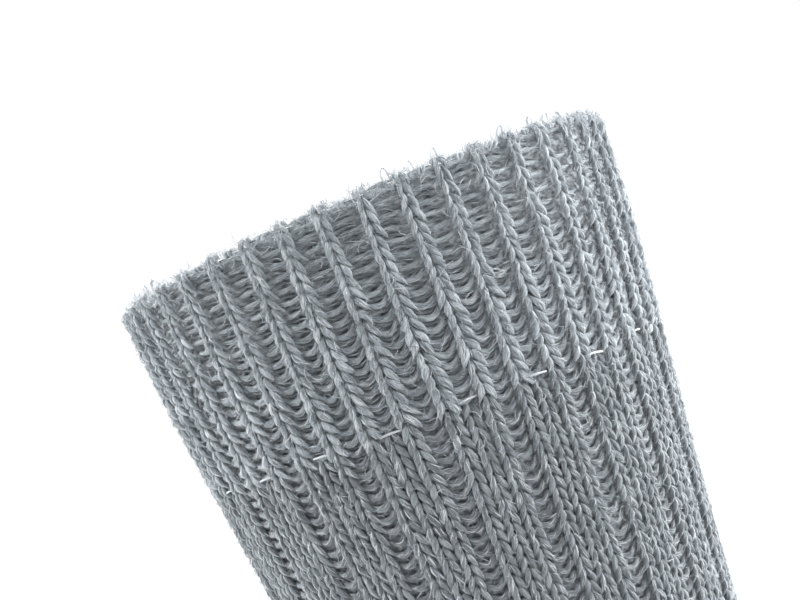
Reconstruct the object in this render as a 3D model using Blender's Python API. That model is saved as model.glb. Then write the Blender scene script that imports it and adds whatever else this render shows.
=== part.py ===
"""A ribbed wool crew sock in the hollow shape it has when worn, from its cuff to its toe.

The sock is one skin, set out by a table of sections from the rim to the toe. Each piece is a
closed wall cut from that skin: its outer face carries the ribs, its inner face is plain.
Metres, +Z up the leg, the toe towards -Y. The origin is in the middle of the cuff band.
"""

import math
from collections import namedtuple

import bmesh
import bpy
from mathutils import Vector

# Heights of the origin and of the rim above the sole
ORIGIN_HEIGHT = 0.252
RIM_HEIGHT = 0.272

# The knitting: 84 wales round, and how far a purl wale lies under its knit neighbours
WALES = 84
CUFF_PURL_DEPTH = 0.0014
LEG_PURL_DEPTH = 0.0013
RIBBED_WALL = 0.0026
PLAIN_WALL = 0.0022
PLAIN_COLUMNS = 48

# Seams and edges
SEAM_GAP = 0.0003
RIM_ROUNDING = 0.0012
RIM_INSET = 0.0006
RIM_DIP = 0.0008

# Step, in rows or radians, over which the skin's slopes are taken
NUDGE = 1e-3

# Each section is a closed curve through a front and a back point in the plane X = 0. Heights
# are above the sole. widest is where the half width lies, as a share of the way from front to
# back, and squareness is the power of the curve on the back or sole side, 2 for an ellipse.
Section = namedtuple(
    "Section", "place front_y front_z back_y back_z half_width widest squareness"
)
SECTIONS = [
    Section("rim", -0.0500, RIM_HEIGHT, 0.0500, RIM_HEIGHT, 0.0500, 0.50, 2.0),
    Section("cuff middle", -0.0486, 0.2520, 0.0486, 0.2520, 0.0486, 0.50, 2.0),
    Section("cuff end", -0.0462, 0.2320, 0.0462, 0.2320, 0.0462, 0.50, 2.0),
    Section("calf", -0.0440, 0.2140, 0.0441, 0.2140, 0.0439, 0.50, 2.0),
    Section("calf", -0.0420, 0.1960, 0.0422, 0.1960, 0.0417, 0.50, 2.0),
    Section("shin", -0.0401, 0.1760, 0.0404, 0.1760, 0.0394, 0.50, 2.0),
    Section("shin", -0.0383, 0.1540, 0.0387, 0.1540, 0.0370, 0.50, 2.0),
    Section("shin", -0.0370, 0.1320, 0.0374, 0.1320, 0.0348, 0.50, 2.0),
    Section("ankle", -0.0367, 0.1120, 0.0370, 0.1120, 0.0336, 0.50, 2.0),
    Section("heel turn", -0.0382, 0.1045, 0.0380, 0.0920, 0.0345, 0.49, 2.0),
    Section("heel turn", -0.0407, 0.0980, 0.0416, 0.0700, 0.0358, 0.48, 2.0),
    Section("heel turn", -0.0440, 0.0922, 0.0474, 0.0480, 0.0362, 0.46, 2.1),
    Section("heel", -0.0480, 0.0870, 0.0518, 0.0270, 0.0356, 0.44, 2.2),
    Section("heel", -0.0524, 0.0824, 0.0462, 0.0080, 0.0344, 0.45, 2.4),
    Section("heel", -0.0572, 0.0782, 0.0290, 0.0006, 0.0332, 0.49, 2.5),
    Section("heel end", -0.0628, 0.0741, 0.0090, 0.0000, 0.0330, 0.54, 2.6),
    Section("foot", -0.0700, 0.0694, -0.0130, 0.0000, 0.0335, 0.58, 2.7),
    Section("arch", -0.0850, 0.0617, -0.0400, 0.0004, 0.0352, 0.60, 2.8),
    Section("arch", -0.1030, 0.0545, -0.0680, 0.0004, 0.0382, 0.62, 2.9),
    Section("foot", -0.1220, 0.0481, -0.0960, 0.0000, 0.0415, 0.62, 3.0),
    Section("ball", -0.1400, 0.0423, -0.1220, 0.0000, 0.0444, 0.62, 3.0),
    Section("toe seam", -0.1560, 0.0376, -0.1450, 0.0000, 0.0458, 0.62, 3.0),
    Section("toe", -0.1700, 0.0334, -0.1640, 0.0000, 0.0448, 0.61, 2.9),
    Section("toe", -0.1815, 0.0290, -0.1785, 0.0006, 0.0412, 0.59, 2.7),
    Section("toe", -0.1905, 0.0244, -0.1890, 0.0024, 0.0350, 0.56, 2.4),
    Section("toe", -0.1960, 0.0194, -0.1955, 0.0054, 0.0262, 0.52, 2.1),
    Section("toe tip", -0.1980, 0.0150, -0.1980, 0.0084, 0.0160, 0.50, 2.0),
]

# Rows of the table where one piece ends and the next begins
CUFF_END = 2
ANKLE = 8
HEEL_END = 15
TOE_SEAM = 21
TOE_TIP = len(SECTIONS) - 1

# Columns at the two sides, where the instep meets the heel cup and the sole
LEFT_SEAM = PLAIN_COLUMNS // 4
RIGHT_SEAM = 3 * PLAIN_COLUMNS // 4

# Rows of the heel's turn, closer together where the heel curves most
TURN_ROWS = [ANKLE, 9, 10, 11, 11.5, 12, 12.5, 13, 13.5, 14, HEEL_END]
FOOT_ROWS = list(range(HEEL_END, TOE_SEAM + 1))

WOOL_GREY = (0.227, 0.250, 0.266, 1.0)
WOOL_ROUGHNESS = 0.95
SHARP_FROM = math.radians(40)


def clear_scene():
    for obj in list(bpy.data.objects):
        bpy.data.objects.remove(obj, do_unlink=True)


def wool(name):
    material = bpy.data.materials.new(name)
    material.use_nodes = True
    shader = material.node_tree.nodes["Principled BSDF"]
    shader.inputs["Base Color"].default_value = WOOL_GREY
    shader.inputs["Roughness"].default_value = WOOL_ROUGHNESS
    shader.inputs["Metallic"].default_value = 0.0
    material.diffuse_color = WOOL_GREY
    return material


def between_rows(u):
    """The section at u, a row number with a fraction, on a smooth curve through the table."""
    row = min(int(u), TOE_TIP - 1)
    t = u - row
    near = [SECTIONS[min(max(row + k, 0), TOE_TIP)] for k in (-1, 0, 1, 2)]
    values = []
    for a, b, c, d in zip(*(section[1:] for section in near)):
        rising = c - a
        bending = 2 * a - 5 * b + 4 * c - d
        closing = 3 * b - a - 3 * c + d
        values.append(b + 0.5 * t * (rising + t * (bending + t * closing)))
    return Section("", *values)


def power(value, exponent):
    return math.copysign(abs(value) ** exponent, value)


def skin(u, v):
    """The point of the skin at row u and angle v, which runs from the front through +X."""
    section = between_rows(u)
    front = Vector((0, section.front_y, section.front_z - ORIGIN_HEIGHT))
    back = Vector((0, section.back_y, section.back_z - ORIGIN_HEIGHT))
    centre = front.lerp(back, section.widest)
    across, along = math.sin(v), math.cos(v)
    if along < 0:
        exponent = 2 / section.squareness
        across, along = power(across, exponent), power(along, exponent)
        point = centre - along * (back - centre)
    else:
        point = centre + along * (front - centre)
    point.x = across * section.half_width
    return point


def slopes(u, v):
    """How fast the skin moves with u and with v."""
    u0, u1 = max(u - NUDGE, 0), min(u + NUDGE, TOE_TIP)
    along = (skin(u1, v) - skin(u0, v)) / (u1 - u0)
    around = (skin(u, v + NUDGE) - skin(u, v - NUDGE)) / (2 * NUDGE)
    return along, around


def lifted(u, v, height):
    """The skin's point moved out by height, or in where height is negative."""
    along, around = slopes(u, v)
    return skin(u, v) + height * along.cross(around).normalized()


def down(u, v, distance):
    """Row number after moving this distance along the skin from row u, towards the toe."""
    return u + distance / slopes(u, v)[0].length


def round_by(u, v, distance):
    """Angle after moving this distance round the skin from angle v."""
    return v + distance / slopes(u, v)[1].length


def cuff_columns():
    """Angle and lift of each column of the one-by-one rib: two columns on every wale."""
    columns = []
    for wale in range(WALES):
        lift = -CUFF_PURL_DEPTH if wale % 2 == 0 else 0.0
        for side in (-0.25, 0.25):
            columns.append((math.tau * (wale + side) / WALES, lift))
    return columns


def leg_columns():
    """Three knit wales and one purl: three columns on the rib, two in the trough."""
    places = ((-1.25, 0.0), (0.0, 0.0), (1.25, 0.0))
    trough = ((1.75, -LEG_PURL_DEPTH), (2.25, -LEG_PURL_DEPTH))
    columns = []
    for rib in range(WALES // 4):
        for place, lift in places + trough:
            columns.append((math.tau * (4 * rib + place) / WALES, lift))
    return columns


def plain_columns():
    return [(math.tau * k / PLAIN_COLUMNS, 0.0) for k in range(PLAIN_COLUMNS)]


def solid_from_grid(name, outer, inner, cells, tip_row=None):
    """A closed wall from two grids of points, the cells it has, and edges round what is left.

    A cell (i, j) lies between rows i and i + 1 and columns j and j + 1. With a tip row, the
    two faces of the wall are each closed across that row, as the seam of a toe is.
    """
    mesh = bmesh.new()
    columns = len(outer[0])
    used = {(i + a, (j + b) % columns) for i, j in cells for a in (0, 1) for b in (0, 1)}
    corners = {}
    for i, j in sorted(used):
        corners[i, j] = mesh.verts.new(outer[i][j]), mesh.verts.new(inner[i][j])
    edges = set()
    for i, j in sorted(cells):
        k = (j + 1) % columns
        loop = [(i, j), (i + 1, j), (i + 1, k), (i, k)]
        mesh.faces.new([corners[place][0] for place in loop])
        mesh.faces.new([corners[place][1] for place in reversed(loop)])
        edges |= set(zip(loop, loop[1:] + loop[:1]))
    for start, end in sorted(edges):
        if (end, start) in edges or start[0] == end[0] == tip_row:
            continue
        mesh.faces.new([corners[end][0], corners[start][0], corners[start][1], corners[end][1]])
    if tip_row is not None:
        close_tip(mesh, [corners[tip_row, j] for j in range(columns)])
    bmesh.ops.triangulate(mesh, faces=mesh.faces[:])
    bmesh.ops.recalc_face_normals(mesh, faces=mesh.faces[:])
    data = bpy.data.meshes.new(name)
    mesh.to_mesh(data)
    mesh.free()
    data.shade_smooth()
    data.set_sharp_from_angle(angle=SHARP_FROM)
    data.materials.append(wool(name + "_wool"))
    obj = bpy.data.objects.new(name, data)
    bpy.context.scene.collection.objects.link(obj)
    return obj


def close_tip(mesh, ring):
    """Strips from each point above the toe's seam to the point below it."""
    count = len(ring)
    quarter = count // 4
    for face in (0, 1):
        for k in range(-quarter, quarter):
            loop = [k, k + 1, count // 2 - k - 1, count // 2 - k]
            points = []
            for place in loop:
                corner = ring[place % count][face]
                if corner not in points:
                    points.append(corner)
            mesh.faces.new(points)


def ribbed_tube(name, columns, rows, top_gap, bottom_gap, rim=False):
    """A whole ring of the ribbed skin, from the first row to the last, drawn in at its seams."""
    outer, inner = [], []
    last = len(rows) - 1
    for number, u in enumerate(rows):
        outer_row, inner_row = [], []
        for v, lift in columns:
            place, raised = u, lift
            if number == 0:
                place = down(u, v, top_gap)
            if number == last:
                place = down(u, v, -bottom_gap)
            if rim and number == 0:
                raised = lift - RIM_INSET
                place = down(u, v, RIM_DIP if lift < 0 else 0)
            outer_row.append(lifted(place, v, raised))
            inner_row.append(lifted(place, v, -RIBBED_WALL))
        outer.append(outer_row)
        inner.append(inner_row)
    cells = {(i, j) for i in range(last) for j in range(len(columns))}
    return solid_from_grid(name, outer, inner, cells)


def plain_piece(name, rows, first, last, tip_row=None):
    """The plain skin between two columns, drawn in by half a gap at each of its edges.

    A piece with a tip row is a whole ring, which has its only seam at its first row.
    """
    columns = plain_columns()
    outer, inner = [], []
    for number, u in enumerate(rows):
        outer_row, inner_row = [], []
        for column, (v, lift) in enumerate(columns):
            along = (number == 0) - (number == len(rows) - 1)
            around = (column == first) - (column == last % PLAIN_COLUMNS)
            if tip_row is not None:
                along, around = int(number == 0), 0
            place = down(u, v, along * SEAM_GAP / 2)
            angle = round_by(u, v, around * SEAM_GAP / 2)
            outer_row.append(lifted(place, angle, lift))
            inner_row.append(lifted(place, angle, -PLAIN_WALL))
        outer.append(outer_row)
        inner.append(inner_row)
    cells = {
        (i, j % PLAIN_COLUMNS) for i in range(len(rows) - 1) for j in range(first, last)
    }
    return solid_from_grid(name, outer, inner, cells, tip_row)


def make_cuff():
    rows = [0, down(0, 0, RIM_ROUNDING), 1, CUFF_END]
    return ribbed_tube("cuff", cuff_columns(), rows, 0, SEAM_GAP / 2, rim=True)


def make_leg():
    rows = list(range(CUFF_END, ANKLE + 1))
    return ribbed_tube("leg", leg_columns(), rows, SEAM_GAP / 2, SEAM_GAP / 2)


def make_heel():
    """The heel cup: the back half of the turn, between the ankle and the sole."""
    return plain_piece("heel", TURN_ROWS, LEFT_SEAM, RIGHT_SEAM)


def make_instep():
    """The front half, which passes in front of the heel cup and over the foot."""
    rows = TURN_ROWS + FOOT_ROWS[1:]
    return plain_piece("instep", rows, RIGHT_SEAM, LEFT_SEAM + PLAIN_COLUMNS)


def make_sole():
    return plain_piece("sole", FOOT_ROWS, LEFT_SEAM, RIGHT_SEAM)


def make_toe():
    rows = list(range(TOE_SEAM, TOE_TIP + 1))
    return plain_piece("toe", rows, 0, PLAIN_COLUMNS, tip_row=len(rows) - 1)


def main():
    clear_scene()
    make_cuff()
    make_leg()
    make_heel()
    make_instep()
    make_sole()
    make_toe()


main()
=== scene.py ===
# %% [markdown]
# A grey wool sock, seen from close to its cuff. Cloth that is this near is no longer a smooth
# surface: the eye follows every loop of yarn. The loops could be painted on as a bump, but this
# near they shade and hide each other, so the sock is knitted stitch by stitch on the hollow form of
# its solids. One stitch of each kind is built, repeated with arrays, and wrapped round the leg.

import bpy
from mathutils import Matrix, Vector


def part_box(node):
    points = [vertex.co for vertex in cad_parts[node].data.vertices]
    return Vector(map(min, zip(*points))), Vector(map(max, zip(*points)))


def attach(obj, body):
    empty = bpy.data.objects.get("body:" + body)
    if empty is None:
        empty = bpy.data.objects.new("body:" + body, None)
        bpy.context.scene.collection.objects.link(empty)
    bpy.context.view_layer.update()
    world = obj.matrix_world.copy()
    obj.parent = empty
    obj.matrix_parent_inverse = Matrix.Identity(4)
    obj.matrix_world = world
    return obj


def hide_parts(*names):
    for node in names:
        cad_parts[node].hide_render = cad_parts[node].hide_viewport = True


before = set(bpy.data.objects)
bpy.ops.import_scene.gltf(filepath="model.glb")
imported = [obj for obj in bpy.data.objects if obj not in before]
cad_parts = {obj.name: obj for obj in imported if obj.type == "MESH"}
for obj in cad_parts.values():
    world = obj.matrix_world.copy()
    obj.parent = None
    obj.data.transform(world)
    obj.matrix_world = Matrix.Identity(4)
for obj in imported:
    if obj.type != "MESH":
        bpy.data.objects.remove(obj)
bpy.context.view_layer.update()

# %% Helpers from Blender and numpy
import math

import bpy
import numpy as np
from mathutils import Matrix, Vector

MM = 0.001
rng = np.random.default_rng(84)

# %% [markdown]
# The photograph looks almost straight at the front of the cuff, from a little below its middle,
# with the leg leaning to the left. The camera is turned about its own axis for that lean, and the
# sock stays upright, so that it can be put to use elsewhere as it is.

# %% The camera
LENS = 77.5
CAMERA_DISTANCE = 0.335
CAMERA_TURN = math.radians(-5.9)
CAMERA_BELOW = math.radians(2.2)
CAMERA_ROLL = math.radians(-21.9)
TARGET_HEIGHT = 0.0024
TARGET_RIGHT = 0.0011

away = Vector((
    math.sin(CAMERA_TURN) * math.cos(CAMERA_BELOW),
    -math.cos(CAMERA_TURN) * math.cos(CAMERA_BELOW),
    -math.sin(CAMERA_BELOW),
))
level_right = (-away).cross(Vector((0, 0, 1))).normalized()
level_up = level_right.cross(-away)
right = math.cos(CAMERA_ROLL) * level_right + math.sin(CAMERA_ROLL) * level_up
up = -math.sin(CAMERA_ROLL) * level_right + math.cos(CAMERA_ROLL) * level_up
target = Vector((0, 0, TARGET_HEIGHT)) + TARGET_RIGHT * right

bpy.ops.object.camera_add()
camera = bpy.context.object
camera.name = "camera"
camera.data.lens = LENS
camera.data.clip_start = 0.01
turned = Matrix((right, up, away)).transposed().to_4x4()
camera.matrix_world = Matrix.Translation(target + CAMERA_DISTANCE * away) @ turned
bpy.context.scene.camera = camera
print("camera at", tuple(round(c, 4) for c in camera.matrix_world.translation))

# %% [markdown]
# The picture is high-key: the ground is pure white, and broad soft light comes from above, behind
# and the right, so the cloth is darkest where it faces the viewer. Lamps alone would draw hard
# edges on every loop, so the world itself is brighter on that side, and white where it is seen.

# %% The world's light
FRONT_LIGHT, BACK_LIGHT = 0.08, 2.8
FALL_START, FALL_END = -0.48, 0.75
SEEN_WHITE = 1.1
SKY_COLOUR = (0.975, 0.99, 1.0, 1)
LIGHT_SIDE = (0.60 * right + 0.62 * up - 0.50 * away).normalized()

bpy.context.scene.view_settings.view_transform = "Standard"
world = bpy.context.scene.world or bpy.data.worlds.new("world")
bpy.context.scene.world = world
world.use_nodes = True
sky = world.node_tree
direction = sky.nodes.new("ShaderNodeTexCoord")
facing = sky.nodes.new("ShaderNodeVectorMath")
facing.operation = "DOT_PRODUCT"
facing.inputs[1].default_value = tuple(LIGHT_SIDE)
sky.links.new(direction.outputs["Generated"], facing.inputs[0])
fall = sky.nodes.new("ShaderNodeMapRange")
fall.interpolation_type = "SMOOTHSTEP"
for socket, value in zip(fall.inputs[1:5], (FALL_START, FALL_END, FRONT_LIGHT, BACK_LIGHT)):
    socket.default_value = value
sky.links.new(facing.outputs["Value"], fall.inputs["Value"])
seen = sky.nodes.new("ShaderNodeLightPath")
strength = sky.nodes.new("ShaderNodeMix")
sky.links.new(seen.outputs["Is Camera Ray"], strength.inputs["Factor"])
sky.links.new(fall.outputs[0], strength.inputs[2])
strength.inputs[3].default_value = SEEN_WHITE
sky.links.new(strength.outputs[0], sky.nodes["Background"].inputs["Strength"])
sky.nodes["Background"].inputs["Color"].default_value = SKY_COLOUR
print("the light comes from", tuple(round(c, 2) for c in LIGHT_SIDE))

# %% [markdown]
# Three soft round lamps add what the world can't: a little direction from the left, more from the
# right, and a touch from near the viewer. The table says how far each stands from the middle of the
# picture, nearer, to the right and up, and then its width and its watts. The floor is one large pale
# sheet, just under the sole.

# %% The lamps and the floor
LAMP_AIM = Vector((0, 0, -0.02))
LAMPS = {
    "key": (0.05, -0.85, 0.30, 0.7, 14.0),
    "window": (-0.15, 0.90, 0.25, 1.2, 13.0),
    "near": (0.06, 0.30, 0.27, 0.3, 0.5),
}
FLOOR_DROP = 0.0005
FLOOR_SIZE = 4
FLOOR_GREY = 0.68
FLOOR_ROUGHNESS = 0.9

for name, (nearer, sideways, higher, size, watts) in LAMPS.items():
    lamp_place = target + nearer * away + sideways * right + higher * up
    bpy.ops.object.light_add(type="AREA", location=lamp_place)
    lamp = bpy.context.object
    lamp.name = name
    lamp.data.shape = "DISK"
    lamp.data.size = size
    lamp.data.energy = watts
    lamp.rotation_euler = (LAMP_AIM - lamp_place).to_track_quat("-Z", "Y").to_euler()

bpy.ops.object.select_all(action="DESELECT")
bpy.ops.mesh.primitive_grid_add(x_subdivisions=8, y_subdivisions=8, size=FLOOR_SIZE)
floor = bpy.context.object
floor.name = "floor"
floor.data.transform(Matrix.Translation((0, 0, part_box("sole")[0][2] - FLOOR_DROP)))
floor_paint = bpy.data.materials.new("floor paint")
floor_paint.use_nodes = True
paint_surface = floor_paint.node_tree.nodes["Principled BSDF"].inputs
paint_surface["Base Color"].default_value = (FLOOR_GREY, FLOOR_GREY, FLOOR_GREY, 1)
paint_surface["Roughness"].default_value = FLOOR_ROUGHNESS
floor.data.materials.append(floor_paint)
print(len(LAMPS), "lamps, and a floor at", round(floor.data.vertices[0].co.z, 4))

# %% [markdown]
# The sock's form is a table of closed sections from the rim to the toe, the same one that its
# solids were made from. A row gives the front and the back point of a section above the sole, its
# half width, where that width lies and how square the back is. The stitches are laid on this skin.

# %% The skin's sections
ORIGIN_HEIGHT = 0.252
RIM_HEIGHT = 0.272
FRONT_Y, FRONT_Z, BACK_Y, BACK_Z, HALF_WIDTH, WIDEST, SQUARENESS = range(7)
SECTIONS = np.array([
    (-0.0500, RIM_HEIGHT, 0.0500, RIM_HEIGHT, 0.0500, 0.50, 2.0),
    (-0.0486, 0.2520, 0.0486, 0.2520, 0.0486, 0.50, 2.0),
    (-0.0462, 0.2320, 0.0462, 0.2320, 0.0462, 0.50, 2.0),
    (-0.0440, 0.2140, 0.0441, 0.2140, 0.0439, 0.50, 2.0),
    (-0.0420, 0.1960, 0.0422, 0.1960, 0.0417, 0.50, 2.0),
    (-0.0401, 0.1760, 0.0404, 0.1760, 0.0394, 0.50, 2.0),
    (-0.0383, 0.1540, 0.0387, 0.1540, 0.0370, 0.50, 2.0),
    (-0.0370, 0.1320, 0.0374, 0.1320, 0.0348, 0.50, 2.0),
    (-0.0367, 0.1120, 0.0370, 0.1120, 0.0336, 0.50, 2.0),
    (-0.0382, 0.1045, 0.0380, 0.0920, 0.0345, 0.49, 2.0),
    (-0.0407, 0.0980, 0.0416, 0.0700, 0.0358, 0.48, 2.0),
    (-0.0440, 0.0922, 0.0474, 0.0480, 0.0362, 0.46, 2.1),
    (-0.0480, 0.0870, 0.0518, 0.0270, 0.0356, 0.44, 2.2),
    (-0.0524, 0.0824, 0.0462, 0.0080, 0.0344, 0.45, 2.4),
    (-0.0572, 0.0782, 0.0290, 0.0006, 0.0332, 0.49, 2.5),
    (-0.0628, 0.0741, 0.0090, 0.0000, 0.0330, 0.54, 2.6),
    (-0.0700, 0.0694, -0.0130, 0.0000, 0.0335, 0.58, 2.7),
    (-0.0850, 0.0617, -0.0400, 0.0004, 0.0352, 0.60, 2.8),
    (-0.1030, 0.0545, -0.0680, 0.0004, 0.0382, 0.62, 2.9),
    (-0.1220, 0.0481, -0.0960, 0.0000, 0.0415, 0.62, 3.0),
    (-0.1400, 0.0423, -0.1220, 0.0000, 0.0444, 0.62, 3.0),
    (-0.1560, 0.0376, -0.1450, 0.0000, 0.0458, 0.62, 3.0),
    (-0.1700, 0.0334, -0.1640, 0.0000, 0.0448, 0.61, 2.9),
    (-0.1815, 0.0290, -0.1785, 0.0006, 0.0412, 0.59, 2.7),
    (-0.1905, 0.0244, -0.1890, 0.0024, 0.0350, 0.56, 2.4),
    (-0.1960, 0.0194, -0.1955, 0.0054, 0.0262, 0.52, 2.1),
    (-0.1980, 0.0150, -0.1980, 0.0084, 0.0160, 0.50, 2.0),
])
RIM, CUFF_END, ANKLE, HEEL_END, TOE_SEAM, TOE_TIP = 0, 2, 8, 15, 21, 26
print(len(SECTIONS), "sections, the rim", 2000 * SECTIONS[RIM, HALF_WIDTH], "mm across")

# %% Points of the skin
WALES = 84
NUDGE = 1e-3


def section_at(row):
    """The section values at a row number, on smooth curves through the table's rows."""
    row = np.clip(row, 0, TOE_TIP - 1e-6)
    k = np.floor(row).astype(int)
    t = (row - k)[:, None]
    a, b, c, d = (SECTIONS[np.clip(k + i, 0, TOE_TIP)] for i in (-1, 0, 1, 2))
    bend = (2 * a - 5 * b + 4 * c - d) * t**2 + (3 * b - a - 3 * c + d) * t**3
    return 0.5 * (2 * b + (c - a) * t + bend)


def skin(row, angle):
    """Points of the skin at row numbers and angles, which run from the front through +X."""
    s = section_at(row)
    front = s[:, [FRONT_Y, FRONT_Z]] - (0, ORIGIN_HEIGHT)
    back = s[:, [BACK_Y, BACK_Z]] - (0, ORIGIN_HEIGHT)
    centre = front + s[:, [WIDEST]] * (back - front)
    across, along = np.sin(angle), np.cos(angle)
    behind = along < 0
    exponent = np.where(behind, 2 / s[:, SQUARENESS], 1)
    across = np.sign(across) * np.abs(across) ** exponent
    along = np.sign(along) * np.abs(along) ** exponent
    reach = np.where(behind[:, None], centre - back, front - centre)
    place = centre + along[:, None] * reach
    return np.column_stack((across * s[:, HALF_WIDTH], place))


def skin_frame(row, angle):
    """The skin's point, its outward direction, and the direction up the leg."""
    row = np.clip(row, 2 * NUDGE, TOE_TIP - 2 * NUDGE)
    low, high = row - NUDGE, row + NUDGE
    along = skin(high, angle) - skin(low, angle)
    around = skin(row, angle + NUDGE) - skin(row, angle - NUDGE)
    out = np.cross(along, around)
    out /= np.linalg.norm(out, axis=1)[:, None]
    rise = -along / np.linalg.norm(along, axis=1)[:, None]
    return skin(row, angle), out, rise


ring = skin(np.full(WALES, 1.0), np.linspace(0, math.tau, WALES, endpoint=False))
print("middle of the cuff is", round(2000 * ring[:, 0].max(), 1), "mm across")

# %% [markdown]
# A knitter's chart counts wales across and courses down. Each stretch of the sock has such a chart:
# it says which row of the skin a course lies on, with the courses evenly spaced along every wale,
# so that the stitches of the heel grow longer where the cup bulges.

# %% The charts
FINE_STEPS = 161


class Chart:
    """Stretches of courses, each from one row of the skin to another. A wale is an angle."""

    def __init__(self, name, stretches):
        self.name = name
        self.courses = sum(courses for first, last, courses in stretches)
        angles = np.linspace(0, math.tau, WALES + 1)
        self.table = np.empty((WALES + 1, self.courses + 1))
        for k, angle in enumerate(angles):
            rows = []
            for first, last, courses in stretches:
                fine = np.linspace(first, last, FINE_STEPS)
                along = skin(fine, np.full(FINE_STEPS, angle))
                steps = np.linalg.norm(np.diff(along, axis=0), axis=1)
                run = np.concatenate(([0], np.cumsum(steps)))
                even = np.interp(np.linspace(0, run[-1], courses + 1), run, fine)
                rows += list(even[1 if rows else 0:])
                if k == 0:
                    self.course = run[-1] / courses
            self.table[k] = rows
        print(f"{name}: {self.courses} courses, {1000 * self.course:.2f} mm each at the front")

    def row(self, wale, course):
        """Row numbers of the skin at places of the chart, also a little past its ends."""
        wale = np.mod(wale, WALES)
        i = np.minimum(wale.astype(int), WALES - 1)
        j = np.clip(np.floor(course).astype(int), 0, self.courses - 1)
        a, b = wale - i, course - j
        low = (1 - a) * self.table[i, j] + a * self.table[i + 1, j]
        high = (1 - a) * self.table[i, j + 1] + a * self.table[i + 1, j + 1]
        return low + b * (high - low)


# %% The sock's charts
CUFF_COURSES = 18
LEG_COURSES = 57
HEEL_COURSES = 46
TURN_COURSES = 26
FOOT_COURSES = 44
TOE_COURSES = 20
cuff_chart = Chart("cuff", [(RIM, CUFF_END, CUFF_COURSES)])
leg_chart = Chart("leg", [(CUFF_END, ANKLE, LEG_COURSES)])
heel_chart = Chart("heel", [(ANKLE, HEEL_END, HEEL_COURSES)])
instep_stretches = [(ANKLE, HEEL_END, TURN_COURSES), (HEEL_END, TOE_SEAM, FOOT_COURSES)]
instep_chart = Chart("instep", instep_stretches)
sole_chart = Chart("sole", [(HEEL_END, TOE_SEAM, FOOT_COURSES)])
toe_chart = Chart("toe", [(TOE_SEAM, TOE_TIP, TOE_COURSES)])

# %% [markdown]
# At the rim the knitting turns over and goes back inside. The chart's courses below nought do the
# same: they are bent round a small half circle, so that the same stitches can run over the edge.
# The worn rim isn't level, so it is let down on one side. At the toe, what lies past the last
# course folds flat to the line of the seam.

# %% Carrying flat knitting to the skin
ROW_HEIGHT = 0.02
RIM_BEND = 1.4 * MM
RIM_DROP = 1.1 * MM
DROP_TURN = math.radians(35)
DROP_COURSES = 7
BEND_FILL = 0.85
SEAM_Y, SEAM_Z = -0.1980, -0.2403
CLOSING_COURSES = 1.5


def over_rim(wale, course, angle, lift):
    """Places points of the cuff, which goes round a bend at the rim and back inside."""
    top = RIM_BEND / ROW_HEIGHT
    row = top + cuff_chart.row(wale, np.maximum(course, 0)) * (1 - top / CUFF_END)
    point, out, rise = skin_frame(row, angle)
    drop = RIM_DROP * (1 - np.sin(angle + DROP_TURN)) * np.clip(1 - course / DROP_COURSES, 0, 1)
    point = point - drop[:, None] * rise
    over = np.maximum(0, -course) * cuff_chart.course
    turn = np.minimum(over / RIM_BEND, math.pi)[:, None]
    inside = np.maximum(0, over - math.pi * RIM_BEND)[:, None]
    height = np.where(over > 0, np.maximum(lift, -BEND_FILL * RIM_BEND), lift)
    arm = (RIM_BEND + height)[:, None] * (np.cos(turn) * out + np.sin(turn) * rise)
    return point - RIM_BEND * out + arm - inside * rise


def closed_toe(point, out, past):
    """Folds what lies past the toe's last course flat to the line of its seam."""
    past = np.clip(past / CLOSING_COURSES, 0, 1)[:, None]
    count = len(point)
    seam = np.column_stack((point[:, 0], np.full(count, SEAM_Y), np.full(count, SEAM_Z)))
    out = (1 - past) * out + past * (0, -1, 0)
    return point + past * (seam - point), out / np.linalg.norm(out, axis=1)[:, None]


def place(chart, wale, course, lift):
    """Where points of the chart lie in space. lift is in metres over the skin."""
    angle = math.tau * wale / WALES
    if chart is cuff_chart:
        return over_rim(wale, course, angle, lift)
    point, out, rise = skin_frame(chart.row(wale, course), angle)
    if chart is toe_chart:
        point, out = closed_toe(point, out, course - chart.courses)
    return point + lift[:, None] * out


# %% The drift of the wales and courses
WAVES = ((2, 0.11), (5, 0.23), (9, 0.07), (14, 0.31))


def wander(wale, course, seed, reach):
    """A slow drift of the wales and courses, which are never quite straight in worn knitting."""
    drift = np.random.default_rng(seed)
    total = np.zeros(len(wale))
    for turns, climb in WAVES:
        phase, share = drift.uniform(0, math.tau), drift.uniform(0.5, 1)
        total += share * np.sin(math.tau * turns * wale / WALES + climb * course + phase)
    return reach * total / 2


# %% A mesh's points in and out
def coordinates(piece):
    flat = np.empty(3 * len(piece.data.vertices))
    piece.data.vertices.foreach_get("co", flat)
    return flat.reshape(-1, 3)


def set_coordinates(piece, points):
    piece.data.vertices.foreach_set("co", np.ascontiguousarray(points, dtype=np.float32).ravel())
    piece.data.update()


rim_point = place(cuff_chart, np.zeros(1), np.full(1, -1.0), np.zeros(1))[0]
print("the rim's bend tops out near", np.round(1000 * rim_point, 1), "mm")

# %% [markdown]
# Every stitch is made of short lengths of yarn. A length could be a bent cylinder, but a curve with
# a round section is easier to taper at both ends, where it dips under its neighbours. Each point
# keeps how far along the yarn it lies and where it is round it, and the wool's streaks follow that.

# %% A length of yarn
UV_SHARE = 0.9
END_MERGE = 0.06


def keep(piece, name, kind, field, values):
    """Stores a value at each point of a piece."""
    piece.data.attributes.new(name, kind, "POINT")
    piece.data.attributes[name].data.foreach_set(field, np.ravel(values))


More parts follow.
